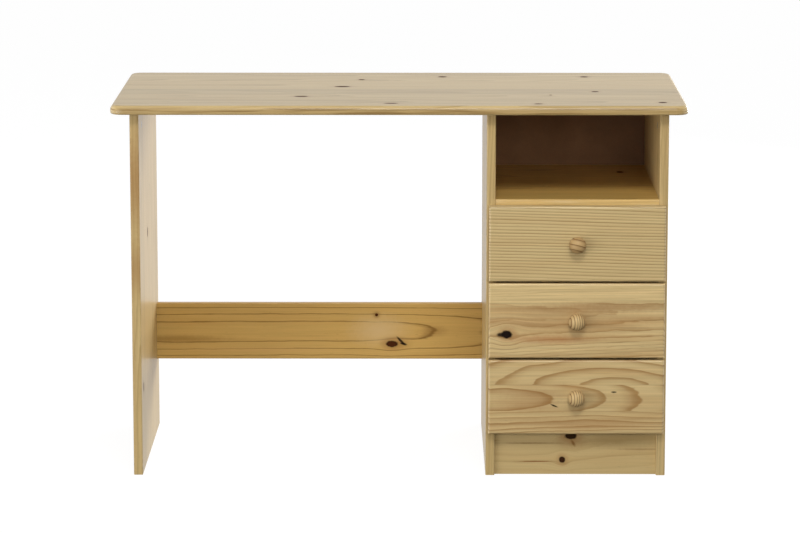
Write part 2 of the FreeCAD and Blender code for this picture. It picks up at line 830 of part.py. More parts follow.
def knob_outline(sketch):
    """Half the knob's section: foot, hollow neck, rounded rim, straight band, shoulder and crown."""
    foot = size("knob_foot_diameter") / 2
    rim = size("knob_rim_radius")
    head = size("knob_diameter") / 2
    neck = head - rim - foot
    shoulder = size("knob_shoulder_radius")
    tip = size("knob_length")
    neck_low = size("knob_foot_height")
    neck_high = neck_low + neck
    rim_low = neck_high + rim
    rim_high = rim_low + size("knob_rim_height")
    offset = head - shoulder
    rise = tip - shoulder
    crown_centre = (rise ** 2 - offset ** 2 - rim_high ** 2) / (2 * (rise - rim_high))
    crown = tip - crown_centre
    lean = math.atan2(rim_high - crown_centre, offset)

    def arc(across, up, radius, start, end):
        circle = Part.Circle(FreeCAD.Vector(across, up, 0), Z_AXIS, radius)
        return Part.ArcOfCircle(circle, start, end)

    def line(start, end):
        return Part.LineSegment(FreeCAD.Vector(*start, 0), FreeCAD.Vector(*end, 0))

    geometry = [
        line((0, 0), (foot, 0)),
        line((foot, 0), (foot, neck_low)),
        arc(foot + neck, neck_low, neck, math.pi / 2, math.pi),
        arc(head - rim, rim_low, rim, -math.pi / 2, 0),
        line((head, rim_low), (head, rim_high)),
        arc(offset, rim_high, shoulder, 0, lean),
        arc(0, crown_centre, crown, lean, math.pi / 2),
        line((0, tip), (0, 0)),
    ]
    FOOT, WALL, NECK, RIM, BAND, SHOULDER, CROWN, AXIS = range(len(geometry))
    for piece in geometry:
        sketch.addGeometry(piece, False)

    def tie(*terms):
        return sketch.addConstraint(Sketcher.Constraint(*terms))

    tie("Coincident", FOOT, 1, -1, 1)
    tie("Horizontal", FOOT)
    tie("Coincident", FOOT, 2, WALL, 1)
    tie("Vertical", WALL)
    tie("Tangent", WALL, 2, NECK, 2)
    tie("Tangent", NECK, 1, RIM, 1)
    tie("Vertical", RIM, 1, RIM, 3)
    tie("Tangent", RIM, 2, BAND, 1)
    tie("Vertical", BAND)
    tie("Tangent", BAND, 2, SHOULDER, 1)
    tie("Tangent", SHOULDER, 2, CROWN, 1)
    tie("PointOnObject", CROWN, 3, -2)
    tie("Coincident", CROWN, 2, AXIS, 1)
    tie("Coincident", AXIS, 2, FOOT, 1)
    tie("Vertical", AXIS)
    driven = (
        (tie("DistanceX", -1, 1, FOOT, 2, foot), "knob_foot_diameter / 2"),
        (tie("DistanceY", -1, 1, WALL, 2, neck_low), "knob_foot_height"),
        (tie("Radius", RIM, rim), "knob_rim_radius"),
        (tie("DistanceX", -1, 1, BAND, 1, head), "knob_diameter / 2"),
        (tie("DistanceY", BAND, 1, BAND, 2, rim_high - rim_low), "knob_rim_height"),
        (tie("Radius", SHOULDER, shoulder), "knob_shoulder_radius"),
        (tie("DistanceY", -1, 1, AXIS, 1, tip), "knob_length"),
    )
    for constraint, text in driven:
        bind(sketch, f"Constraints[{constraint}]", text)


def turn_to_front(body, spot):
    body.Placement = FreeCAD.Placement(FreeCAD.Vector(), TURNS["-y"])
    for axis in "xyz":
        bind(body, f"Placement.Base.{axis}", spot[axis])
    pieces.append(body)


def make_knob(name, low):
    """A turned knob on the middle of a drawer front, bored from its foot for its screw."""
    body = new_body(f"{name}_drawer_knob")
    profile = new_sketch(body, "XZ_Plane", "Profile")
    knob_outline(profile)
    revolve(body, profile)
    bore = new_sketch(body, "XY_Plane", "Bore")
    draw_circles(bore, [("0", "0")], "knob_screw_diameter + 2 * hole_fit")
    pocket(body, bore, "knob_screw_grip + hole_end_room", reverse=True)
    turn_to_front(body, at("knob_across", "front_face", f"{low} + front_height / 2"))


def make_knob_screw(name, low, front):
    """A pan-head screw through the front from inside the drawer; height 0 is under its head."""
    reach = "front_thickness + knob_screw_grip"
    outline = [
        ("0", "-knob_screw_head_height"),
        ("knob_screw_head_diameter / 2", "-knob_screw_head_height"),
        ("knob_screw_head_diameter / 2", "0"),
        ("knob_screw_diameter / 2", "0"),
        ("knob_screw_diameter / 2", reach),
        ("0", reach),
    ]
    spot = at("knob_across", "front_back", f"{low} + front_height / 2")
    front.drill("y+", [spot], "knob_screw_diameter + 2 * hole_fit", "front_thickness")
    turn_to_front(turned_body(f"{name}_knob_screw", outline), spot)


def make_drawer(name, number):
    low = drawer_low(number)
    box_low = f"({low} + drawer_foot_margin)"
    front = make_front(name, low)
    left_side = make_drawer_side(name, "left", box_low)
    right_side = make_drawer_side(name, "right", box_low)
    back = make_drawer_back(name, box_low)
    make_drawer_bottom(name, box_low)
    fasten_drawer(name, front, left_side, right_side, back, box_low)
    make_knob(name, low)
    make_knob_screw(name, low, front)


def check_model():
    """Stop if any object failed, any cut removed nothing or any piece isn't a valid solid."""
    for thing in doc.Objects:
        if "Invalid" in thing.State or "Error" in thing.State:
            raise RuntimeError(f"{thing.Name} ({thing.Label}) failed: {thing.State}")
        if thing.TypeId == "PartDesign::Pocket":
            if thing.Shape.Volume >= thing.BaseFeature.Shape.Volume:
                raise RuntimeError(f"{thing.Name} cuts nothing")
    for piece in pieces:
        if piece.Shape.isNull() or not piece.Shape.isValid() or not piece.Shape.Solids:
            raise RuntimeError(f"{piece.Label} has no valid solid")


def write_pieces():
    os.makedirs("parts", exist_ok=True)
    for piece in pieces:
        piece.Shape.exportStep(f"parts/{piece.Label}.step")


# The patterns that the groups of fasteners copy
dowel = make_dowel("dowel_pattern", "dowel_diameter", "dowel_length", "dowel_face_depth")
thin_dowel = make_dowel(
    "thin_dowel_pattern", "thin_dowel_diameter", "thin_dowel_length", "thin_dowel_face_depth"
)
cam_bolt = make_cam_bolt()
panel_cam, rail_cam, shelf_cam, base_cam = [make_cam_lock(name) for name in CAM_BOARDS]

# The standing parts of the desk
desk_top = make_top()
left_leg = make_panel("left_leg_panel", "leg_left")
pedestal_left_side = make_panel("pedestal_left_side", "pedestal_left")
pedestal_right_side = make_panel("pedestal_right_side", "bay_right")
rear_rail = make_rail()
compartment_shelf = make_shelf()
pedestal_base = make_base()
plinth_board = make_plinth()
back_panel = make_back()
groove_for_back(pedestal_left_side, "x+", "bay_left")
groove_for_back(pedestal_right_side, "x-", "bay_right")
fasten_top(
    desk_top,
    ((left_leg, "x+"), (pedestal_left_side, "x+"), (pedestal_right_side, "x-")),
)
fasten_rail(rear_rail, left_leg, pedestal_left_side)
fasten_pedestal(pedestal_left_side, pedestal_right_side, compartment_shelf, pedestal_base, plinth_board)
nail_back(back_panel, compartment_shelf, pedestal_base)

# The drawers and the strips that they hang on
runner_screws = []
for drawer_number, drawer_name in enumerate(DRAWERS):
    runner_screws += make_runner(drawer_name, "left", drawer_number, pedestal_left_side)
    runner_screws += make_runner(drawer_name, "right", drawer_number, pedestal_right_side)
    make_drawer(drawer_name, drawer_number)
gather("runner_screws", make_screw(), runner_screws)

doc.recompute()
check_model()
write_pieces()
print(len(pieces), "sub-parts")
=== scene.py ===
import math
from dataclasses import dataclass

import bmesh
import bpy
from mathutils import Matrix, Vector


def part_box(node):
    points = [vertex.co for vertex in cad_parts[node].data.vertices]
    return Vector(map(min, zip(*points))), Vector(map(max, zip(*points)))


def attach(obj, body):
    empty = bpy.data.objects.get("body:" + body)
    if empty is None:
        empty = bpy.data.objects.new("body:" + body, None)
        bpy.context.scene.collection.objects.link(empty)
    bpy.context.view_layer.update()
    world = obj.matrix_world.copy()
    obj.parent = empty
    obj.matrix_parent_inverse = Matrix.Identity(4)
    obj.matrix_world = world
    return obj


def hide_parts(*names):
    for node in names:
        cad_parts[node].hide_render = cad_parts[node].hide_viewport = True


# Dresses the pine kneehole desk: wood, sheet and metal finishes, small fittings, floor, lights and camera.
# Places on the boards are in millimetres on the desk; everything else is in metres.

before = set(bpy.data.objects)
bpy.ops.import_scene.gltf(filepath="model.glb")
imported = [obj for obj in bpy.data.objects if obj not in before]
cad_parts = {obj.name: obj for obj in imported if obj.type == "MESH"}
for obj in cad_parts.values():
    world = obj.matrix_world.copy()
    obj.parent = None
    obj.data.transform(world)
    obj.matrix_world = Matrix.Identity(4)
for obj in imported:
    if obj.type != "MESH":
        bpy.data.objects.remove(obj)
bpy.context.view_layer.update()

DRAWERS = ("upper", "middle", "lower")
MILLIMETRE = 0.001


class Wire:
    """One output of a node. Reckoning with it adds Math nodes."""

    def __init__(self, nodes, socket):
        self.nodes = nodes
        self.socket = socket

    def out(self, name):
        """Another output of the same node."""
        return Wire(self.nodes, self.socket.node.outputs[name])

    def reckon(self, operation, *values):
        return self.nodes.add("ShaderNodeMath", {"operation": operation}, dict(enumerate(values)))

    def __add__(self, other):
        return self.reckon("ADD", self, other)

    def __radd__(self, other):
        return self.reckon("ADD", other, self)

    def __sub__(self, other):
        return self.reckon("SUBTRACT", self, other)

    def __rsub__(self, other):
        return self.reckon("SUBTRACT", other, self)

    def __mul__(self, other):
        return self.reckon("MULTIPLY", self, other)

    def __rmul__(self, other):
        return self.reckon("MULTIPLY", other, self)

    def __truediv__(self, other):
        return self.reckon("DIVIDE", self, other)

    def __rtruediv__(self, other):
        return self.reckon("DIVIDE", other, self)

    def __pow__(self, other):
        return self.reckon("POWER", self, other)

    def __abs__(self):
        return self.reckon("ABSOLUTE", self)

    def whole(self):
        return self.reckon("FLOOR", self)

    def part(self):
        return self.reckon("FRACT", self)

    def root(self):
        return self.reckon("SQRT", self)

    def sine(self):
        return self.reckon("SINE", self)

    def larger(self, other):
        """The larger of two values."""
        return self.reckon("MAXIMUM", self, other)

    def over(self, limit):
        """1 past the limit and 0 up to it."""
        return self.reckon("GREATER_THAN", self, limit)

    def rise(self, start, end):
        """0 up to the start, 1 from the end on, and smooth between them."""
        limits = {"Value": self, "From Min": start, "From Max": end}
        return self.nodes.add("ShaderNodeMapRange", {"interpolation_type": "SMOOTHSTEP"}, limits)


class Nodes:
    """A node tree, and the one way to add a node to it."""

    def __init__(self, tree):
        self.tree = tree
        tree.nodes.clear()

    def add(self, kind, settings=None, sockets=None):
        """Add a node: its settings first, then the values or wires of its sockets."""
        node = self.tree.nodes.new(kind)
        for name, value in (settings or {}).items():
            if name == "bends":
                set_bends(node.mapping, value)
            else:
                setattr(node, name, value)
        for name, value in (sockets or {}).items():
            socket = find_socket(node, name)
            if isinstance(value, Wire):
                self.tree.links.new(value.socket, socket)
            elif isinstance(value, list):
                for wire in value:
                    self.tree.links.new(wire.socket, socket)
            else:
                socket.default_value = value
        shown = [socket for socket in node.outputs if socket.enabled]
        return Wire(self, shown[0]) if shown else None


def find_socket(node, name):
    if isinstance(name, int):
        return node.inputs[name]
    return next(socket for socket in node.inputs if socket.name == name and socket.enabled)


def set_bends(mapping, points):
    """Straight runs between points that a curve node goes through, from 0 to 1 both ways."""
    curve = mapping.curves[0]
    while len(curve.points) < len(points):
        curve.points.new(0.5, 0.5)
    for bend, place in zip(curve.points, points):
        bend.location = place
        bend.handle_type = "VECTOR"
    mapping.update()


class Finish(Nodes):
    """A material's nodes, with places on the piece in millimetres."""

    def __init__(self, name):
        self.material = bpy.data.materials.new(name)
        self.material.use_nodes = True
        super().__init__(self.material.node_tree)
        self.coordinates = self.add("ShaderNodeTexCoord")

    def places(self, letters="XYZ"):
        scale = {"Vector": self.coordinates.out("Object"), "Scale": 1 / MILLIMETRE}
        scaled = self.add("ShaderNodeVectorMath", {"operation": "SCALE"}, scale)
        axes = self.add("ShaderNodeSeparateXYZ", None, {"Vector": scaled})
        return [axes.out(letter) for letter in letters]

    def normal(self, letter):
        axes = self.add("ShaderNodeSeparateXYZ", None, {"Vector": self.coordinates.out("Normal")})
        return axes.out(letter)

    def facing(self, letter):
        """How squarely the surface faces along an axis, from 0 to 1."""
        return abs(self.normal(letter))

    def noise(self, x, y, z, seed, detail=2.0, roughness=0.5):
        place = self.add("ShaderNodeCombineXYZ", None, {"X": x, "Y": y, "Z": z})
        sockets = {"Vector": place, "W": seed, "Scale": 1.0, "Detail": detail, "Roughness": roughness}
        return self.add("ShaderNodeTexNoise", {"noise_dimensions": "4D"}, sockets)

    def grain(self, place, length, width, seed, detail=2.0, roughness=0.5):
        """Noise drawn out into streaks of some length along the grain and some width across it."""
        along, across, through = place
        return self.noise(along / length, across / width, through / width, seed, detail, roughness)

    def chance(self, number):
        """Three random numbers from 0 to 1 that belong to a whole number."""
        drawn = self.add("ShaderNodeTexWhiteNoise", {"noise_dimensions": "1D"}, {"W": number})
        axes = self.add("ShaderNodeSeparateXYZ", None, {"Vector": drawn.out("Color")})
        return [axes.out(letter) for letter in "XYZ"]

    def blend(self, below, above, amount):
        return self.add("ShaderNodeMix", {"data_type": "RGBA"}, {"Factor": amount, "A": below, "B": above})

    def shade(self, colour, amount):
        return self.add("ShaderNodeVectorMath", {"operation": "SCALE"}, {"Vector": colour, "Scale": amount})

    def done(self, looks, height=None, relief=0.0):
        """Close the material with its shader, and with a relief in millimetres where it has one."""
        if height is not None:
            sockets = {"Height": height, "Distance": relief * MILLIMETRE, "Strength": 1.0}
            looks["Normal"] = self.add("ShaderNodeBump", None, sockets)
        shader = self.add("ShaderNodeBsdfPrincipled", None, looks)
        self.add("ShaderNodeOutputMaterial", None, {"Surface": shader})
        return self.material


def tint(red, green, blue):
    """A colour for a shader from the 0 to 255 of a colour chart."""
    channels = []
    for number in (red, green, blue):
        share = number / 255
        channels.append(share / 12.92 if share <= 0.04045 else ((share + 0.055) / 1.055) ** 2.4)
    return (*channels, 1.0)


# The colours of the pine
PALE = tint(202, 176, 122)
LATE = tint(165, 136, 82)
WARM = tint(188, 146, 94)
END = tint(146, 108, 64)
END_PALE = tint(236, 212, 164)
BROWN = tint(78, 36, 6)
BLACK = tint(22, 11, 4)
RUST = tint(150, 98, 48)


@dataclass
class Mark:
    """A knot, a crack or a stain: its middle, half its length and width, and its turn in degrees."""

    along: float
    across: float
    length: float
    width: float
    turn: float = 0.0
    colour: tuple = BROWN
    strength: float = 1.0
    softness: float = 0.3
    bending: float = 0.85


def crack(along, across, length, width, turn=0.0):
    return Mark(along, across, length, width, turn, colour=BLACK, strength=0.95, softness=0.5, bending=0.0)


def stain(along, across, length, width, colour, strength):
    return Mark(along, across, length, width, colour=colour, strength=strength, softness=1.0, bending=0.0)


@dataclass
class Pine:
    """How one board was glued up and cut from its trees."""

    # The axes along the grain and across the board, how wide a stave is and where one joint lies
    grain: str = "X"
    width: str = "Y"
    stave: float = 80.0
    joint: float = 0.0
    # The rings: how far apart, round which pith, how much that differs by stave, their lean and phase
    spacing: float = 5.0
    pith_across: float = 0.0
    pith_behind: float = 60.0
    spread: float = 60.0
    lean: float = 0.02
    phase: float = 0.0
    # How the rings close into arches away from a place along the board
    swell: float = 0.0
    eye: float = 0.0
    blunt: float = 0.0
    # How the rings stray, where late wood starts in a ring and how much the rings differ
    wander: float = 10.0
    sweep: float = 330.0
    ripple: float = 1.4
    start: float = 0.3
    uneven: float = 1.0
    # How strongly rings, staves and streaks show, and how much of the rim's colour is on the edges: streaks
    # of edge grain over an even painted shade where the rim is darker than the faces, and painted light where
    # it is paler
    contrast: float = 0.6
    tone: float = 0.12
    streaks: float = 0.3
    edge: float = 0.0
    rim: tuple = RUST
    # Paler staves and staves from another tree, each from a place across the board on
    steps: tuple = ()
    above: tuple = ()
    # The colours of the faces and of the ends, the marks, the seed and the lacquer
    warmth: float = 0.35
    pale: tuple = PALE
    late: tuple = LATE
    warm: tuple = WARM
    end_pale: tuple = END_PALE
    end_late: tuple = END
    marks: tuple = ()
    seed: float = 0.0
    roughness: float = 0.4
    gloss: float = 0.5
    coat: float = 0.45


# How far the grain parts round a knot, in sizes of the knot
BEND_LENGTH = 2.6
BEND_WIDTH = 2.4
# A knot's ragged outline, its rings, its dark rim and the rusty wood round it
RAGGED = 0.5
RAGGED_SIZE = 7
OUTER_SOFTNESS = 0.4
KNOT_RINGS = 3.0
RING_SHADE = 0.3
RIM_REACH = (0.5, 0.9)
RIM_SHADE = 0.7
HALO_REACH = (0.9, 2.4)
HALO_SHADE = 0.3


def mark_distance(mark, along, across, ragged):
    """How far a place is from a mark's middle: 1 at its rim."""
    turn = math.radians(mark.turn)
    ahead = along - mark.along
    aside = across - mark.across
    if mark.turn:
        ahead, aside = (
            ahead * math.cos(turn) + aside * math.sin(turn),
            aside * math.cos(turn) - ahead * math.sin(turn),
        )
    square = (ahead / mark.length) ** 2 + (aside / mark.width) ** 2
    return square.root() + ragged * RAGGED


def bend_round_knots(marks, along, across):
    """Let the grain part and close again round each knot."""
    bent = across
    for mark in marks:
        if mark.bending:
            ahead = (along - mark.along) / (mark.length * BEND_LENGTH)
            aside = (across - mark.across) / (mark.width * BEND_WIDTH)
            nearness = 1.0 / (1.0 + (ahead * ahead + aside * aside) ** 2)
            bent = bent - (across - mark.across) * nearness * mark.bending
    return bent


def paint_marks(finish, marks, colour, along, across, ragged):
    """Lay knots, cracks and stains over the grain; returns the colour and how much of it they cover."""
    covered = ragged * 0.0
    for mark in marks:
        distance = mark_distance(mark, along, across, ragged)
        core = 1.0 - distance.rise(1.0 - mark.softness, 1.0 + mark.softness * OUTER_SOFTNESS)
        amount = core * mark.strength
        if mark.bending:
            halo = (1.0 - distance.rise(*HALO_REACH)) * HALO_SHADE
            colour = finish.blend(colour, RUST, halo)
            years = (distance * KNOT_RINGS).part() * RING_SHADE
            rim = distance.rise(*RIM_REACH) * RIM_SHADE
            inner = finish.blend(mark.colour, BLACK, years + rim)
            colour = finish.blend(colour, inner, amount)
        else:
            colour = finish.blend(colour, mark.colour, amount)
        covered = covered.larger(amount)
    return colour, covered


# A year's ring runs from 0 to 1: late wood darkens to near its end and stops short of the next spring
LATE_FULL = 0.95
LATE_DARK = 0.93
LATE_STOP = 0.94
LATE_SOFT = 0.6
# How much staves and years differ by luck
BOARD_SEEDS = 3.1
FIRST_SEED = 11
STAVE_SEEDS = 40
SPREAD_BEHIND = 0.6
SPREAD_LEAN = 0.00045
YEAR_PACE = 0.37
YEAR_SWING = 1.6
YEAR_FADE = 0.65


def own_seed(wood, luck):
    """A seed that belongs to one stave of one board."""
    return luck[2] * STAVE_SEEDS + wood.seed


def ring_shade(wood, share):
    """How dark a ring is at a share of its year."""
    dark = wood.start + (LATE_FULL - wood.start) * LATE_SOFT
    late = share.rise(wood.start, LATE_FULL) * LATE_SOFT + share.rise(dark, LATE_DARK) * (1.0 - LATE_SOFT)
    return late * (1.0 - share.rise(LATE_STOP, 1.0))


def growth_rings(finish, wood, place, luck, middle):
    """How dark the late wood is, ring by ring, around each stave's own pith."""
    along, across, through = place
    aside = across - middle - wood.pith_across - (luck[0] - 0.5) * wood.spread
    behind = through - wood.pith_behind - (luck[1] - 0.5) * (SPREAD_BEHIND * wood.spread)
    own = own_seed(wood, luck)
    slow = finish.grain(place, length=wood.sweep, width=60, seed=own, detail=1.0)
    quick = finish.grain(place, length=45, width=9, seed=own + 7)
    square = aside * aside + behind * behind
    if wood.swell:
        beyond = along - wood.eye
        if wood.blunt:
            beyond = beyond.larger(0.0) / (1.0 + (aside / wood.blunt) ** 2)
        square = square + (beyond * wood.swell) ** 2
    drift = along * (wood.lean + (luck[1] - 0.5) * (SPREAD_LEAN * wood.spread))
    length = square.root() + drift + (slow - 0.5) * (2 * wood.wander) + (quick - 0.5) * (2 * wood.ripple)
    years = length / wood.spacing + wood.phase + luck[2] * wood.spread
    uneven = finish.noise(years * YEAR_PACE, 0.0, 0.0, own + 3, detail=1.0)
    years = years + (uneven - 0.5) * (YEAR_SWING * wood.uneven)
    year = finish.chance(years.whole() + wood.seed)
    return ring_shade(wood, years.part()) * (1.0 - year[0] * (YEAR_FADE * wood.uneven))


# How much lighter or darker the pine's details are, how much of the ends is end grain, and the relief
FIBRE_SHADE = 0.26
FLECK_SHADE = 0.16
RESIN_SHADE = 0.3
GLUE_SHADE = 0.2
PATCH_SHARE = 0.6
WEDGE_SHARE = 0.6
END_SHARE = 0.8
STEP_FADE = 0.5
PINE_RELIEF = 0.06


def pine(name, node, wood):
    """Lacquered or bare pine for one board, cut from staves with their own rings, streaks and knots."""
    finish = Finish(name)
    depth = next(letter for letter in "XYZ" if letter not in (wood.grain, wood.width))
    along, across, through = finish.places((wood.grain, wood.width, depth))
    low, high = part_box(node)
    number = "XYZ".index(depth)
    through = through - (low[number] + high[number]) / 2 / MILLIMETRE
    staves = (across - wood.joint) / wood.stave
    stave = staves.whole()
    luck = finish.chance(stave + wood.seed * BOARD_SEEDS + FIRST_SEED)
    middle = (stave + 0.5) * wood.stave + wood.joint
    bent = bend_round_knots(wood.marks, along, across)
    place = (along, bent, through)
    late = growth_rings(finish, wood, place, luck, middle)
    for start, other in wood.above:
        late = late + (growth_rings(finish, other, place, luck, middle) - late) * across.over(start)
    own = own_seed(wood, luck)

    fibre = finish.grain(place, length=70, width=0.7, seed=own, detail=3.0, roughness=0.6)
    band = finish.grain(place, length=200, width=4, seed=own + 1, detail=3.0, roughness=0.6)
    fleck = finish.grain(place, length=5, width=0.22, seed=own, detail=1.0).rise(0.66, 0.74)
    resin = finish.grain(place, length=14, width=0.8, seed=own + 2, detail=1.0).rise(0.7, 0.78)
    patch = finish.grain(place, length=260, width=22, seed=own + 5).rise(0.35, 0.8)
    streak = finish.grain(place, length=420, width=9, seed=own + 9).rise(0.52, 0.78)
    grit = (along / RAGGED_SIZE, across / RAGGED_SIZE, through / (2 * RAGGED_SIZE))
    ragged = finish.noise(*grit, wood.seed, detail=3.0) - 0.5
    end = finish.facing(wood.grain).rise(0.35, 0.95)

    warmth = (patch * PATCH_SHARE + streak * (1.0 - PATCH_SHARE)) * wood.warmth
    shade = (fibre - 0.5) * FIBRE_SHADE + (band - 0.5) * wood.streaks
    bright = shade + (luck[0] - 0.5) * wood.tone + 1.0
    for start, change in wood.steps:
        paler = across.over(start)
        bright = bright + paler * change
        warmth = warmth * (1.0 - paler)
        late = late * (1.0 - paler * STEP_FADE)
    colour = finish.blend(wood.pale, wood.warm, warmth)
    colour = finish.blend(colour, wood.late, late * wood.contrast)
    # The edge faces take the rim colour, partly in streaks of edge grain and partly evenly: painted shade on
    # edges with a darker rim (desk top, pedestal sides), painted light on the shelf's paler edges
    if wood.edge:
        side = finish.facing(wood.width).rise(0.6, 0.98)
        wedge = finish.grain((along, across, through), length=150, width=7, seed=own + 13, detail=1.0)
        amount = wedge.rise(0.46, 0.66) * WEDGE_SHARE + (1.0 - WEDGE_SHARE)
        colour = finish.blend(colour, wood.rim, side * amount * wood.edge)
    colour = finish.shade(colour, bright)
    colour = finish.shade(colour, 1.0 - fleck * FLECK_SHADE - resin * RESIN_SHADE)
    colour = finish.blend(colour, finish.blend(wood.end_pale, wood.end_late, late), end * END_SHARE)
    colour, knot = paint_marks(finish, wood.marks, colour, along, across, ragged)

    seam = (0.5 - abs(staves.part() - 0.5)) * wood.stave
    glue = 1.0 - seam.rise(0.1, 0.45)
    height = late * 0.5 + fibre * 0.5 - fleck * 0.6 - glue * 0.8 - knot * 0.6
    looks = {
        "Base Color": finish.shade(colour, 1.0 - glue * GLUE_SHADE),
        "Roughness": wood.roughness + (fibre - 0.5) * 0.18 + end * 0.15 + fleck * 0.12 + knot * 0.5,
        "Coat Weight": (1.0 - knot) * wood.coat,
        "Coat Roughness": 0.2,
        "Specular IOR Level": wood.gloss,
        "IOR": 1.3,
    }
    return finish.done(looks, height, PINE_RELIEF)


WIRE_PITCH = 1.8
SHEET_RELIEF = 0.12
BEECH_RELIEF = 0.08
PLATE_RELIEF = 0.01
SCRATCH_LENGTH = 1.6
SCRATCH_WIDTH = 0.2
CASTING_RELIEF = 0.03


def hardboard():
    """Pressed brown sheet: smooth on its face, printed with the press's wire mesh behind."""
    finish = Finish("hardboard_sheet")
    place = finish.places()
    cloud = finish.grain(place, length=60, width=60, seed=1.0, detail=3.0)
    chip = finish.grain(place, length=3, width=3, seed=2.0, detail=3.0, roughness=0.65)
    hair = finish.grain(place, length=9, width=0.8, seed=3.0).rise(0.6, 0.75)
    colour = finish.blend(tint(108, 77, 51), tint(139, 102, 71), cloud)
    colour = finish.shade(colour, (chip - 0.5) * 0.5 + 1.0 + hair * 0.08)
    rear = finish.normal("Y").rise(0.5, 0.9)
    wires = [(way * (math.tau / WIRE_PITCH)).sine() for way in finish.places("XZ")]
    mesh = wires[0] * wires[1] * rear
    looks = {
        "Base Color": finish.shade(colour, 1.0 + mesh * 0.18 - rear * 0.08),
        "Roughness": 0.62 + rear * 0.2 + (chip - 0.5) * 0.2,
        "IOR": 1.45,
    }
    return finish.done(looks, chip * 0.25 + mesh * 1.5, SHEET_RELIEF)


def beech(name, grain, seed):
    """Bare beech: pinkish, with the short dark dashes of its rays, rubbed smooth where the drawers slide."""
    finish = Finish(name)
    place = finish.places(grain + "XYZ".replace(grain, ""))
    dash = finish.grain(place, length=2.4, width=0.35, seed=seed, detail=1.0).rise(0.6, 0.7)
    fibre = finish.grain(place, length=60, width=0.5, seed=seed, detail=3.0)
    cloud = finish.grain(place, length=150, width=12, seed=seed + 4)
    colour = finish.blend(tint(206, 166, 126), tint(186, 140, 100), cloud)
    colour = finish.shade(colour, (fibre - 0.5) * 0.22 + 1.0)
    colour = finish.blend(colour, tint(128, 84, 54), dash * 0.55)
    rubbed = finish.facing("Z").rise(0.7, 0.95)
    looks = {
        "Base Color": finish.shade(colour, 1.0 - rubbed * 0.1),
        "Roughness": 0.58 + (fibre - 0.5) * 0.2 - rubbed * 0.2,
        "IOR": 1.45,
    }
    return finish.done(looks, fibre * 0.5 - dash * 0.4, BEECH_RELIEF)


def plated_steel():
    """Bright zinc plate with faint straw and blue clouds and fine scratches."""
    finish = Finish("zinc_plated_steel")
    x, y, z = finish.places()
    cloud = finish.grain((x, y, z), length=2.5, width=2.5, seed=1.0, detail=3.0)
    scratch = finish.noise(x / SCRATCH_WIDTH, y / SCRATCH_LENGTH, z / SCRATCH_WIDTH, seed=2.0)
    colour = finish.blend(tint(196, 200, 204), tint(214, 206, 182), cloud.rise(0.4, 0.7))
    looks = {
        "Base Color": finish.shade(colour, 0.92 + scratch * 0.16),
        "Metallic": 1.0,
        "Roughness": 0.24 + scratch * 0.16 + cloud * 0.06,
    }
    return finish.done(looks, scratch, PLATE_RELIEF)


def cast_zinc():
    """Dull grey casting with a sandy skin and rubbed high spots."""
    finish = Finish("zinc_casting")
    place = finish.places()
    sand = finish.grain(place, length=0.35, width=0.35, seed=1.0, detail=3.0)
    cloud = finish.grain(place, length=4, width=4, seed=2.0)
    colour = finish.blend(tint(150, 150, 148), tint(182, 181, 176), cloud)
    looks = {
        "Base Color": finish.shade(colour, 0.9 + sand * 0.2),
        "Metallic": 1.0,
        "Roughness": 0.42 + sand * 0.14,
    }
    return finish.done(looks, sand, CASTING_RELIEF)


# The colours of stains and resin lines
TAN = tint(160, 114, 66)
UMBER = tint(150, 106, 58)
LINE_BROWN = tint(128, 96, 52)

# The boards that the photograph shows, each with its own cut of pine
TOP_KNOTS = (
    Mark(-117.5, 42.3, 17, 9),
    Mark(-197.5, -114.4, 15, 8),
    Mark(-79.8, 156.1, 7, 7),
    Mark(-16.5, -220.8, 15, 6),
    Mark(88.7, 205.5, 10, 9),
    Mark(384.7, 204.8, 9, 9),
    Mark(395.9, -38.1, 8, 7),
    Mark(303.8, -92.4, 3, 4),
    Mark(274.8, -228.8, 9, 6),
    Mark(521.5, -206.9, 9, 9),
)
RAIL_MARKS = (
    stain(-45, 212, 62, 34, tint(216, 186, 134), 0.8),
    stain(-480, 193, 130, 9, tint(138, 100, 42), 0.55),
    stain(-300, 170, 170, 7, tint(214, 170, 104), 0.5),
    stain(-50.1, 244.9, 10, 9, tint(138, 98, 48), 0.45),
    stain(-8, 184, 34, 17, tint(160, 116, 60), 0.5),
    stain(70, 210, 30, 13, tint(138, 98, 40), 0.4),
    Mark(-50.1, 244.9, 3.5, 3.5, bending=0.3),
    Mark(-17.4, 182.6, 14, 7.5, bending=0.4),
    crack(1.5, 189, 14, 3.0, -45),
    crack(7, 182.5, 9, 2.6, -12),
)
MIDDLE_FRONT_MARKS = (
    stain(320, 320, 190, 34, tint(166, 124, 76), 0.4),
    stain(410, 346, 160, 10, tint(146, 104, 60), 0.6),
    stain(300, 281, 95, 9, tint(170, 114, 68), 0.6),
    Mark(214, 291.7, 11.5, 9, colour=BLACK),
    crack(203, 290.5, 10, 5),
)
LOWER_FRONT_MARKS = (
    stain(260, 160, 70, 28, TAN, 0.4),
    stain(353, 108, 180, 14, TAN, 0.35),
    crack(309.1, 146.6, 9, 1.8, -22),
    crack(428.3, 174.4, 6, 1.8),
)
PLINTH_MARKS = (
    stain(442, 67, 75, 18, tint(150, 122, 72), 0.4),
    stain(346, 68, 34, 18, tint(150, 112, 62), 0.5),
    stain(262, 63.5, 68, 2.0, LINE_BROWN, 0.7),
    stain(485, 51, 52, 2.4, LINE_BROWN, 0.5),
    Mark(349, 64, 9, 3.5, turn=-60, colour=tint(120, 80, 38), strength=0.8, softness=0.8, bending=0.0),
    Mark(273, 26, 40, 1.7, colour=tint(128, 80, 42), strength=0.85, softness=0.7, bending=0.0),
    Mark(327.1, 29.6, 7, 7, colour=tint(56, 26, 2)),
    Mark(344.1, 79, 13, 8, colour=tint(50, 28, 2)),
)
SHELF_KNOTS = (Mark(457.8, 130, 8, 10),)
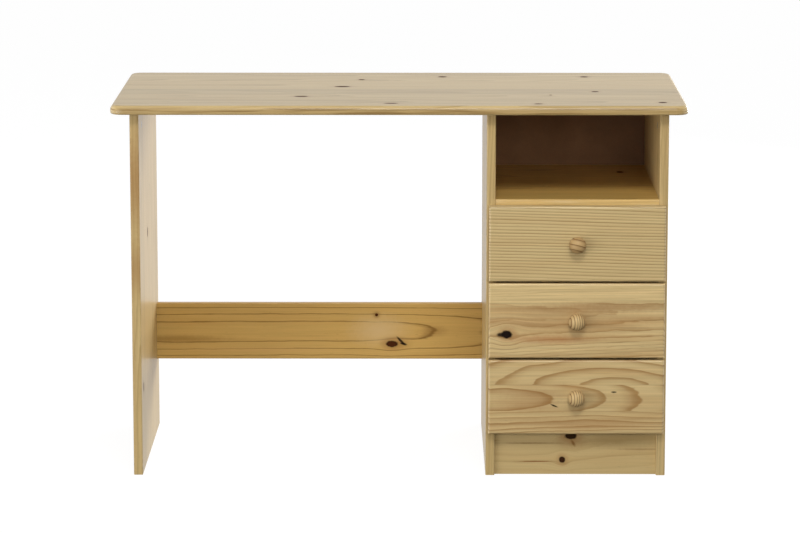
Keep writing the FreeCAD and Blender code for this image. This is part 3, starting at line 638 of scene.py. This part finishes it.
LEG_KNOTS = (
    stain(600, -238, 110, 5, UMBER, 0.6),
    stain(420, -238, 60, 3, UMBER, 0.5),
    Mark(460, -34, 11, 8),
    Mark(169, -185, 11, 8),
)
HONEY = dict(pale=tint(209, 171, 99), late=tint(112, 76, 29), warm=tint(198, 149, 79))
AMBER = dict(pale=tint(211, 174, 98), late=tint(160, 118, 54), warm=tint(202, 146, 72), coat=0.2)
STANDING = dict(grain="Z", stave=96, spacing=6)
STRIPED = dict(pale=tint(211, 187, 136), late=tint(155, 127, 77))
RUDDY = dict(pale=tint(206, 181, 130), late=tint(152, 112, 62), warm=tint(172, 128, 76), warmth=0.8)
TURNED = dict(
    grain="Y", stave=2000, joint=-1000, spread=0, uneven=0.3, warmth=0.1, contrast=1.0, coat=0.15,
    roughness=0.5, pale=tint(200, 169, 117), late=tint(104, 66, 30), end_pale=tint(208, 179, 126),
    end_late=tint(112, 76, 38),
)
DULL = TURNED | dict(pale=tint(182, 150, 100), end_pale=tint(190, 158, 108))
BARE = dict(
    stave=120, spacing=7, pale=tint(222, 198, 152), late=tint(186, 150, 100), coat=0.0, roughness=0.6,
    contrast=0.5,
)

SWIRL = dict(
    spacing=15, pith_behind=6, spread=0, wander=7, sweep=120, ripple=1.6, start=0.35, uneven=0.3, seed=11
)
SWIRLS = (
    (135.8, Pine(pith_across=-3.5, eye=200, swell=0.19, lean=0.0, phase=0.17, **SWIRL)),
    (189.3, Pine(pith_across=-27, eye=443, swell=0.245, lean=0.045, phase=0.11, **SWIRL)),
)

PINES = {
    "desk_top": Pine(
        stave=79.3, joint=3.5, spacing=7, contrast=0.7, tone=0.3, edge=0.9, rim=tint(140, 112, 66),
        marks=TOP_KNOTS, seed=1
    ),
    "left_leg_panel": Pine(joint=-30, marks=LEG_KNOTS, seed=2, coat=0.3, **STANDING),
    "pedestal_left_side": Pine(joint=12, edge=0.3, rim=tint(160, 128, 78), seed=3, **STANDING),
    "pedestal_right_side": Pine(
        joint=-12, edge=0.5, rim=tint(154, 126, 80), pale=tint(214, 188, 134), roughness=0.55, gloss=0.3,
        coat=0.15, seed=4, **STANDING
    ),
    "rear_rail": Pine(
        width="Z", stave=400, spacing=13, pith_across=9, pith_behind=11, spread=0, lean=0.0, phase=-0.29,
        swell=0.143, eye=-80, blunt=40, wander=2.5, start=0.78, uneven=0.4, contrast=1.0, marks=RAIL_MARKS,
        seed=5, **HONEY
    ),
    "compartment_shelf": Pine(
        stave=88, joint=20, spacing=6, edge=0.9, rim=tint(216, 190, 142), marks=SHELF_KNOTS, seed=6, **AMBER
    ),
    "pedestal_base": Pine(stave=88, joint=-20, spacing=6, seed=7),
    "plinth_board": Pine(
        width="Z", stave=400, joint=-150, spacing=11, pith_across=20, pith_behind=45, spread=0,
        pale=tint(194, 169, 118), marks=PLINTH_MARKS, seed=8,
    ),
    "upper_drawer_front": Pine(
        width="Z", stave=400, joint=300, spacing=6.2, pith_across=320, pith_behind=40, spread=0, lean=-0.025,
        wander=3, ripple=0.7, uneven=0.6, contrast=1.0, seed=9, **STRIPED
    ),
    "middle_drawer_front": Pine(
        width="Z", stave=112.5, joint=243, spacing=6.5, pith_across=30, pith_behind=30, wander=8, sweep=400,
        ripple=2.6, start=0.4, contrast=0.75, streaks=0.9, steps=((355.5, 0.02),), marks=MIDDLE_FRONT_MARKS,
        seed=10, **RUDDY
    ),
    "lower_drawer_front": Pine(
        width="Z", stave=53.5, joint=135.8, spacing=8, pith_across=-75, pith_behind=30, spread=10, swell=0.12,
        eye=590, wander=11, ripple=1.7, start=0.1, contrast=0.85, streaks=0.5, above=SWIRLS,
        marks=LOWER_FRONT_MARKS, seed=11, **RUDDY
    ),
}
KNOBS = {
    "upper": Pine(
        width="Z", spacing=10.5, pith_across=383, pith_behind=-22, lean=0.08, wander=1.5, ripple=0.4,
        start=0.5, seed=12, **DULL
    ),
    "middle": Pine(
        width="X", spacing=5.4, pith_behind=4, lean=0.3, wander=2, ripple=0.4, start=0.4, seed=13, **TURNED
    ),
    "lower": Pine(
        width="X", spacing=4.9, pith_behind=4, lean=0.3, wander=1, ripple=0.4, start=0.4, seed=14, **TURNED
    ),
}


SIDE_SEED = 20
BACK_SEED = 30


def dress(node, material):
    """Give a CAD node its finish."""
    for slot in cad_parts[node].material_slots:
        slot.material = material


def dress_boards():
    for node, wood in PINES.items():
        dress(node, pine(f"pine_{node}", node, wood))
    for order, name in enumerate(DRAWERS):
        knob = f"{name}_drawer_knob"
        dress(knob, pine(f"turned_{knob}", knob, KNOBS[name]))
        for hand in ("left", "right"):
            side = f"{name}_drawer_{hand}_side"
            wood = Pine(grain="Y", width="Z", seed=SIDE_SEED + order, **BARE)
            dress(side, pine(f"bare_{side}", side, wood))
        back = f"{name}_drawer_back"
        dress(back, pine(f"bare_{back}", back, Pine(width="Z", seed=BACK_SEED + order, **BARE)))


def dress_sheets_and_strips():
    sheet = hardboard()
    runner = beech("beech_runner", "Y", 1.0)
    dowel = beech("beech_dowel", "X", 2.0)
    dress("back_panel", sheet)
    for group in ("top_dowels", "rail_dowels", "pedestal_dowels"):
        dress(group, dowel)
    for name in DRAWERS:
        dress(f"{name}_drawer_bottom", sheet)
        dress(f"{name}_drawer_dowels", dowel)
        for hand in ("left", "right"):
            dress(f"{name}_runner_{hand}", runner)


TWIST_SEED = 7


class Fitting(Nodes):
    """Geometry nodes that set copies of one small fitting on points, each facing its own way."""

    def __init__(self, name, sizes):
        self.sizes = sizes
        tree = bpy.data.node_groups.new(name, "GeometryNodeTree")
        super().__init__(tree)
        tree.interface.new_socket("Geometry", in_out="INPUT", socket_type="NodeSocketGeometry")
        for label in sizes:
            tree.interface.new_socket(label, in_out="INPUT", socket_type="NodeSocketFloat")
        tree.interface.new_socket("Geometry", in_out="OUTPUT", socket_type="NodeSocketGeometry")
        self.given = self.add("NodeGroupInput")

    def size(self, label):
        return self.given.out(label)

    def turned(self, profile, sides):
        """A turned form from shares of its radius and of its length, with its end at height 0 facing out."""
        radius = self.size("Diameter") * 0.5
        length = self.size("Length")
        count = len(profile) - 1
        post = self.add(
            "GeometryNodeMeshCylinder",
            {"fill_type": "TRIANGLE_FAN"},
            {"Vertices": sides, "Side Segments": count, "Radius": 1.0, "Depth": 1.0},
        )
        place = self.add("ShaderNodeSeparateXYZ", None, {"Vector": self.add("GeometryNodeInputPosition")})
        step = place.out("Z") + 0.5
        widths = [(order / count, share) for order, (share, drop) in enumerate(profile)]
        drops = [(order / count, drop) for order, (share, drop) in enumerate(profile)]
        width = self.add("ShaderNodeFloatCurve", {"bends": widths}, {"Value": step}) * radius
        drop = self.add("ShaderNodeFloatCurve", {"bends": drops}, {"Value": step}) * length
        spot = {"X": place.out("X") * width, "Y": place.out("Y") * width, "Z": 0.0 - drop}
        moved = self.add("ShaderNodeCombineXYZ", None, spot)
        return self.add("GeometryNodeSetPosition", None, {"Geometry": post, "Position": moved})

    def cross_cut(self, shape):
        """Sink a crossed driver slot into the face of a fitting."""
        length = self.size("Slot Length")
        width = self.size("Slot Width")
        depth = self.size("Slot Depth")
        bars = []
        for across, along in ((length, width), (width, length)):
            bar_size = self.add("ShaderNodeCombineXYZ", None, {"X": across, "Y": along, "Z": depth * 2.0})
            bars.append(self.add("GeometryNodeMeshCube", None, {"Size": bar_size}))
        return self.add(
            "GeometryNodeMeshBoolean",
            {"operation": "DIFFERENCE", "solver": "EXACT"},
            {"Mesh 1": shape, "Mesh 2": bars},
        )

    def set_copies(self, shape, material):
        vector = {"data_type": "FLOAT_VECTOR"}
        facing = self.add("GeometryNodeInputNamedAttribute", vector, {"Name": "facing"})
        turn = self.add("FunctionNodeAlignRotationToVector", {"axis": "Z"}, {"Vector": facing})
        limits = {"Min": 0.0, "Max": math.tau, "Seed": TWIST_SEED}
        angle = self.add("FunctionNodeRandomValue", {"data_type": "FLOAT"}, limits)
        twist = self.add("ShaderNodeCombineXYZ", None, {"Z": angle})
        turned = self.add(
            "FunctionNodeRotateRotation", {"rotation_space": "LOCAL"}, {"Rotation": turn, "Rotate By": twist}
        )
        points = {"Points": self.size("Geometry"), "Instance": shape, "Rotation": turned}
        copies = self.add("GeometryNodeInstanceOnPoints", None, points)
        real = self.add("GeometryNodeRealizeInstances", None, {"Geometry": copies})
        finished = self.add("GeometryNodeSetMaterial", None, {"Geometry": real, "Material": material})
        self.add("NodeGroupOutput", None, {"Geometry": finished})

    def fit(self, name, spots, body, nodes, slot):
        """Make one plain mesh of the copies at some spots, in place of the CAD nodes."""
        mesh = bpy.data.meshes.new(name + "_spots")
        mesh.from_pydata([place for place, facing in spots], [], [])
        facings = mesh.attributes.new("facing", "FLOAT_VECTOR", "POINT")
        for item, (place, facing) in zip(facings.data, spots):
            item.vector = facing
        piece = bpy.data.objects.new(name, mesh)
        bpy.context.scene.collection.objects.link(piece)
        copies = piece.modifiers.new("Copies", "NODES")
        copies.node_group = self.tree
        for item in self.tree.interface.items_tree:
            if item.in_out == "INPUT" and item.name in self.sizes:
                copies[item.identifier] = self.sizes[item.name]
        ready = piece.evaluated_get(bpy.context.evaluated_depsgraph_get())
        made = bpy.data.meshes.new_from_object(ready)
        piece.modifiers.remove(copies)
        piece.data = made
        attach(piece, body)
        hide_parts(*nodes)


RIGHT, LEFT = Vector((1, 0, 0)), Vector((-1, 0, 0))
REAR, DOWN = Vector((0, 1, 0)), Vector((0, 0, -1))
CAM_DISTANCE = 0.034
TOP_CAM_INSET = 0.080
SHELF_CAM_INSET = 0.070
RUNNER_SCREW_INSET = 0.045
NAIL_INSET = 0.040
NAIL_HEAD = 0.0008


def rows(low, high, inset):
    return (low.y + inset, high.y - inset)


def top_cam_spots():
    spots = []
    panels = {"left_leg_panel": RIGHT, "pedestal_left_side": RIGHT, "pedestal_right_side": LEFT}
    for node, facing in panels.items():
        low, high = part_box(node)
        face = high.x if facing is RIGHT else low.x
        spots += [((face, row, high.z - CAM_DISTANCE), facing) for row in rows(low, high, TOP_CAM_INSET)]
    return spots


def rail_cam_spots():
    low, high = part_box("rear_rail")
    columns = (low.x + CAM_DISTANCE, high.x - CAM_DISTANCE)
    return [((column, high.y, (low.z + high.z) / 2), REAR) for column in columns]


def board_cam_spots(node):
    low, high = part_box(node)
    columns = (low.x + CAM_DISTANCE, high.x - CAM_DISTANCE)
    return [((column, row, low.z), DOWN) for column in columns for row in rows(low, high, SHELF_CAM_INSET)]


def runner_screw_spots():
    spots = []
    for name in DRAWERS:
        for hand, facing in (("left", RIGHT), ("right", LEFT)):
            low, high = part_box(f"{name}_runner_{hand}")
            face = high.x if facing is RIGHT else low.x
            level = (low.z + high.z) / 2
            spots += [((face, row, level), facing) for row in rows(low, high, RUNNER_SCREW_INSET)]
    return spots


def nail_spots():
    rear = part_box("back_panel")[1].y
    spots = []
    for node in ("compartment_shelf", "pedestal_base"):
        low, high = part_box(node)
        columns = (low.x + NAIL_INSET, (low.x + high.x) / 2, high.x - NAIL_INSET)
        spots += [((column, rear, (low.z + high.z) / 2), REAR) for column in columns]
    return spots


# Each profile's shares of the radius and of the length, and the sizes of what is turned to it
CAM_PROFILE = ((0.0, 0.0), (0.94, 0.0), (1.0, 0.03), (1.0, 1.0), (0.0, 1.0))
CAM_SIZES = {
    "Diameter": 0.015,
    "Length": 0.0135,
    "Slot Length": 0.0095,
    "Slot Width": 0.0018,
    "Slot Depth": 0.0016,
}
CAM_SIDES = 48
SCREW_PROFILE = ((0.0, 0.0), (0.97, 0.0), (1.0, 0.008), (0.5, 0.09), (0.5, 0.8), (0.14, 1.0), (0.0, 1.0))
SCREW_SIZES = {
    "Diameter": 0.007,
    "Length": 0.020,
    "Slot Length": 0.0042,
    "Slot Width": 0.0009,
    "Slot Depth": 0.0012,
}
PAN_PROFILE = (
    (0.0, 0.0),
    (0.45, 0.002),
    (0.75, 0.014),
    (0.93, 0.034),
    (1.0, 0.056),
    (1.0, 0.072),
    (0.5, 0.073),
    (0.5, 1.0),
)
PAN_SIZES = {
    "Diameter": 0.008,
    "Length": 0.0345,
    "Slot Length": 0.0048,
    "Slot Width": 0.001,
    "Slot Depth": 0.0014,
}
SCREW_SIDES = 32
NAIL_PROFILE = ((0.0, 0.0), (0.8, 0.004), (1.0, 0.02), (1.0, 0.038), (0.4, 0.04), (0.4, 0.95), (0.05, 1.0))
NAIL_SIZES = {"Diameter": 0.004, "Length": 0.0208}
NAIL_SIDES = 24


def make_cam_locks(material):
    cam = Fitting("cam_lock", CAM_SIZES)
    cam.set_copies(cam.cross_cut(cam.turned(CAM_PROFILE, CAM_SIDES)), material)
    groups = {
        "panel_cams": ("top_cam_locks", top_cam_spots()),
        "rail_cams": ("rail_cam_locks", rail_cam_spots()),
        "shelf_cams": ("shelf_cam_locks", board_cam_spots("compartment_shelf")),
        "base_cams": ("base_cam_locks", board_cam_spots("pedestal_base")),
    }
    for name, (node, spots) in groups.items():
        cam.fit(name, spots, "desk_frame", [node], "zinc_casting")


def make_strip_screws(material):
    screw = Fitting("runner_screw", SCREW_SIZES)
    screw.set_copies(screw.cross_cut(screw.turned(SCREW_PROFILE, SCREW_SIDES)), material)
    screw.fit("strip_screws", runner_screw_spots(), "desk_frame", ["runner_screws"], "zinc_plated_steel")


def make_sheet_nails(material):
    nail = Fitting("back_nail", NAIL_SIZES)
    nail.set_copies(nail.turned(NAIL_PROFILE, NAIL_SIDES), material)
    spots = [(Vector(place) + REAR * NAIL_HEAD, facing) for place, facing in nail_spots()]
    nail.fit("sheet_nails", spots, "desk_frame", ["back_panel_nails"], "zinc_plated_steel")


def make_knob_screws(material):
    screw = Fitting("knob_screw", PAN_SIZES)
    screw.set_copies(screw.cross_cut(screw.turned(PAN_PROFILE, SCREW_SIDES)), material)
    for name in DRAWERS:
        node = f"{name}_knob_screw"
        low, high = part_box(node)
        spot = ((low.x + high.x) / 2, high.y, (low.z + high.z) / 2)
        screw.fit(f"{name}_pan_screw", [(spot, REAR)], f"{name}_drawer", [node], "zinc_plated_steel")


def make_fittings():
    steel = plated_steel()
    casting = cast_zinc()
    for group in ("top_cam_bolts", "rail_cam_bolts", "pedestal_cam_bolts"):
        dress(group, steel)
    make_cam_locks(casting)
    make_strip_screws(steel)
    make_sheet_nails(steel)
    make_knob_screws(steel)


FLOOR_REACH = 40.0
FLOOR_SQUARES = 8
PAPER = tint(98, 98, 98)
WHITE = tint(255, 255, 255)
PAPER_GLOW = 0.93


def make_floor():
    """A plain white floor, lit from within, with hardly a shadow and no glow of its own on the desk."""
    form = bmesh.new()
    squares = FLOOR_SQUARES
    bmesh.ops.create_grid(form, x_segments=squares, y_segments=squares, size=FLOOR_REACH)
    mesh = bpy.data.meshes.new("studio_floor")
    form.to_mesh(mesh)
    form.free()
    floor = bpy.data.objects.new("studio_floor", mesh)
    bpy.context.scene.collection.objects.link(floor)
    floor.visible_diffuse = False
    floor.visible_glossy = False
    finish = Finish("studio_paper")
    looks = {
        "Base Color": PAPER,
        "Roughness": 1.0,
        "Specular IOR Level": 0.0,
        "Emission Color": WHITE,
        "Emission Strength": PAPER_GLOW,
    }
    mesh.materials.append(finish.done(looks))


@dataclass
class SoftBox:
    """A soft box: where it stands, what it faces, its size and power, and whether the lacquer mirrors it."""

    place: tuple
    target: tuple
    width: float
    height: float
    power: float
    mirrored: bool = True


SOFT_BOXES = {
    "front_box": SoftBox(
        place=(1.2, -5.6, 1.6), target=(0.1, 0.0, 0.4), width=1.8, height=1.2, power=60.5, mirrored=False
    ),
    "low_box": SoftBox(
        place=(-1.8, -3.4, 0.35), target=(0.4, 0.0, 0.6), width=2.0, height=1.0, power=14.0
    ),
    "left_box": SoftBox(
        place=(-3.0, -2.6, 0.5), target=(0.4, 0.0, 0.6), width=2.2, height=1.2, power=38.0
    ),
    "upper_box": SoftBox(
        place=(0.3, -2.9, 3.2), target=(0.0, 0.0, 0.4), width=1.4, height=1.0, power=57.0
    ),
    "rear_box": SoftBox(
        place=(2.5, 3.0, 1.0), target=(-0.5, 0.0, 0.4), width=1.6, height=1.6, power=130.0
    ),
}
# How bright the room is on each side
CEILING = 0.45
REAR_WALL = 0.75
FRONT_WALL = 0.3
FRONT_LEFT_MORE = 0.6
SIDE_WALLS = 0.35
SIDES_LOW_MORE = 0.45


def make_light(name, box):
    light = bpy.data.lights.new(name, "AREA")
    light.shape = "RECTANGLE"
    light.size = box.width
    light.size_y = box.height
    light.energy = box.power
    lamp = bpy.data.objects.new(name, light)
    lamp.location = box.place
    lamp.rotation_euler = (Vector(box.target) - Vector(box.place)).to_track_quat("-Z", "Y").to_euler()
    lamp.visible_camera = False
    lamp.visible_glossy = box.mirrored
    bpy.context.scene.collection.objects.link(lamp)


def light_room():
    """A bright wall behind, dimmer ones in front and at the sides, and a ceiling."""
    world = bpy.data.worlds.new("studio")
    world.use_nodes = True
    room = Nodes(world.node_tree)
    toward = room.add("ShaderNodeTexCoord").out("Generated")
    axes = room.add("ShaderNodeSeparateXYZ", None, {"Vector": toward})
    x, y, z = axes.out("X"), axes.out("Y"), axes.out("Z")
    ceiling = z.rise(0.2, 0.7)
    rear = y.rise(0.0, 0.6)
    ahead = (0.0 - y).rise(0.0, 0.6) * z.rise(-0.05, 0.05)
    left = (0.0 - x).rise(0.1, 0.4)
    beside = (abs(x) - abs(y)).rise(0.0, 0.8)
    below = (0.0 - z).rise(0.0, 0.4)
    front = ahead * (left * FRONT_LEFT_MORE + FRONT_WALL)
    sides = beside * (below * SIDES_LOW_MORE + SIDE_WALLS)
    walls = rear * REAR_WALL + front + sides
    strength = ceiling * CEILING + (1.0 - ceiling) * walls
    glow = room.add("ShaderNodeBackground", None, {"Color": WHITE, "Strength": strength})
    room.add("ShaderNodeOutputWorld", None, {"Surface": glow})
    bpy.context.scene.world = world


def light_studio():
    """The room, four soft boxes in front and one behind."""
    light_room()
    bpy.context.scene.view_settings.view_transform = "Standard"
    for name, box in SOFT_BOXES.items():
        make_light(name, box)


LENS = 160.85
SENSOR = 36.0
CAMERA_PLACE = (0.0323, -7.2334, 1.6695)
CAMERA_TILT = 10.0845
CAMERA_TURN = 0.2521


def make_camera():
    eye = bpy.data.cameras.new("photograph")
    eye.lens = LENS
    eye.sensor_width = SENSOR
    camera = bpy.data.objects.new("photograph", eye)
    camera.location = CAMERA_PLACE
    camera.rotation_euler = (math.radians(90 - CAMERA_TILT), 0.0, math.radians(CAMERA_TURN))
    bpy.context.scene.collection.objects.link(camera)
    bpy.context.scene.camera = camera


dress_boards()
dress_sheets_and_strips()
make_fittings()
make_floor()
light_studio()
make_camera()
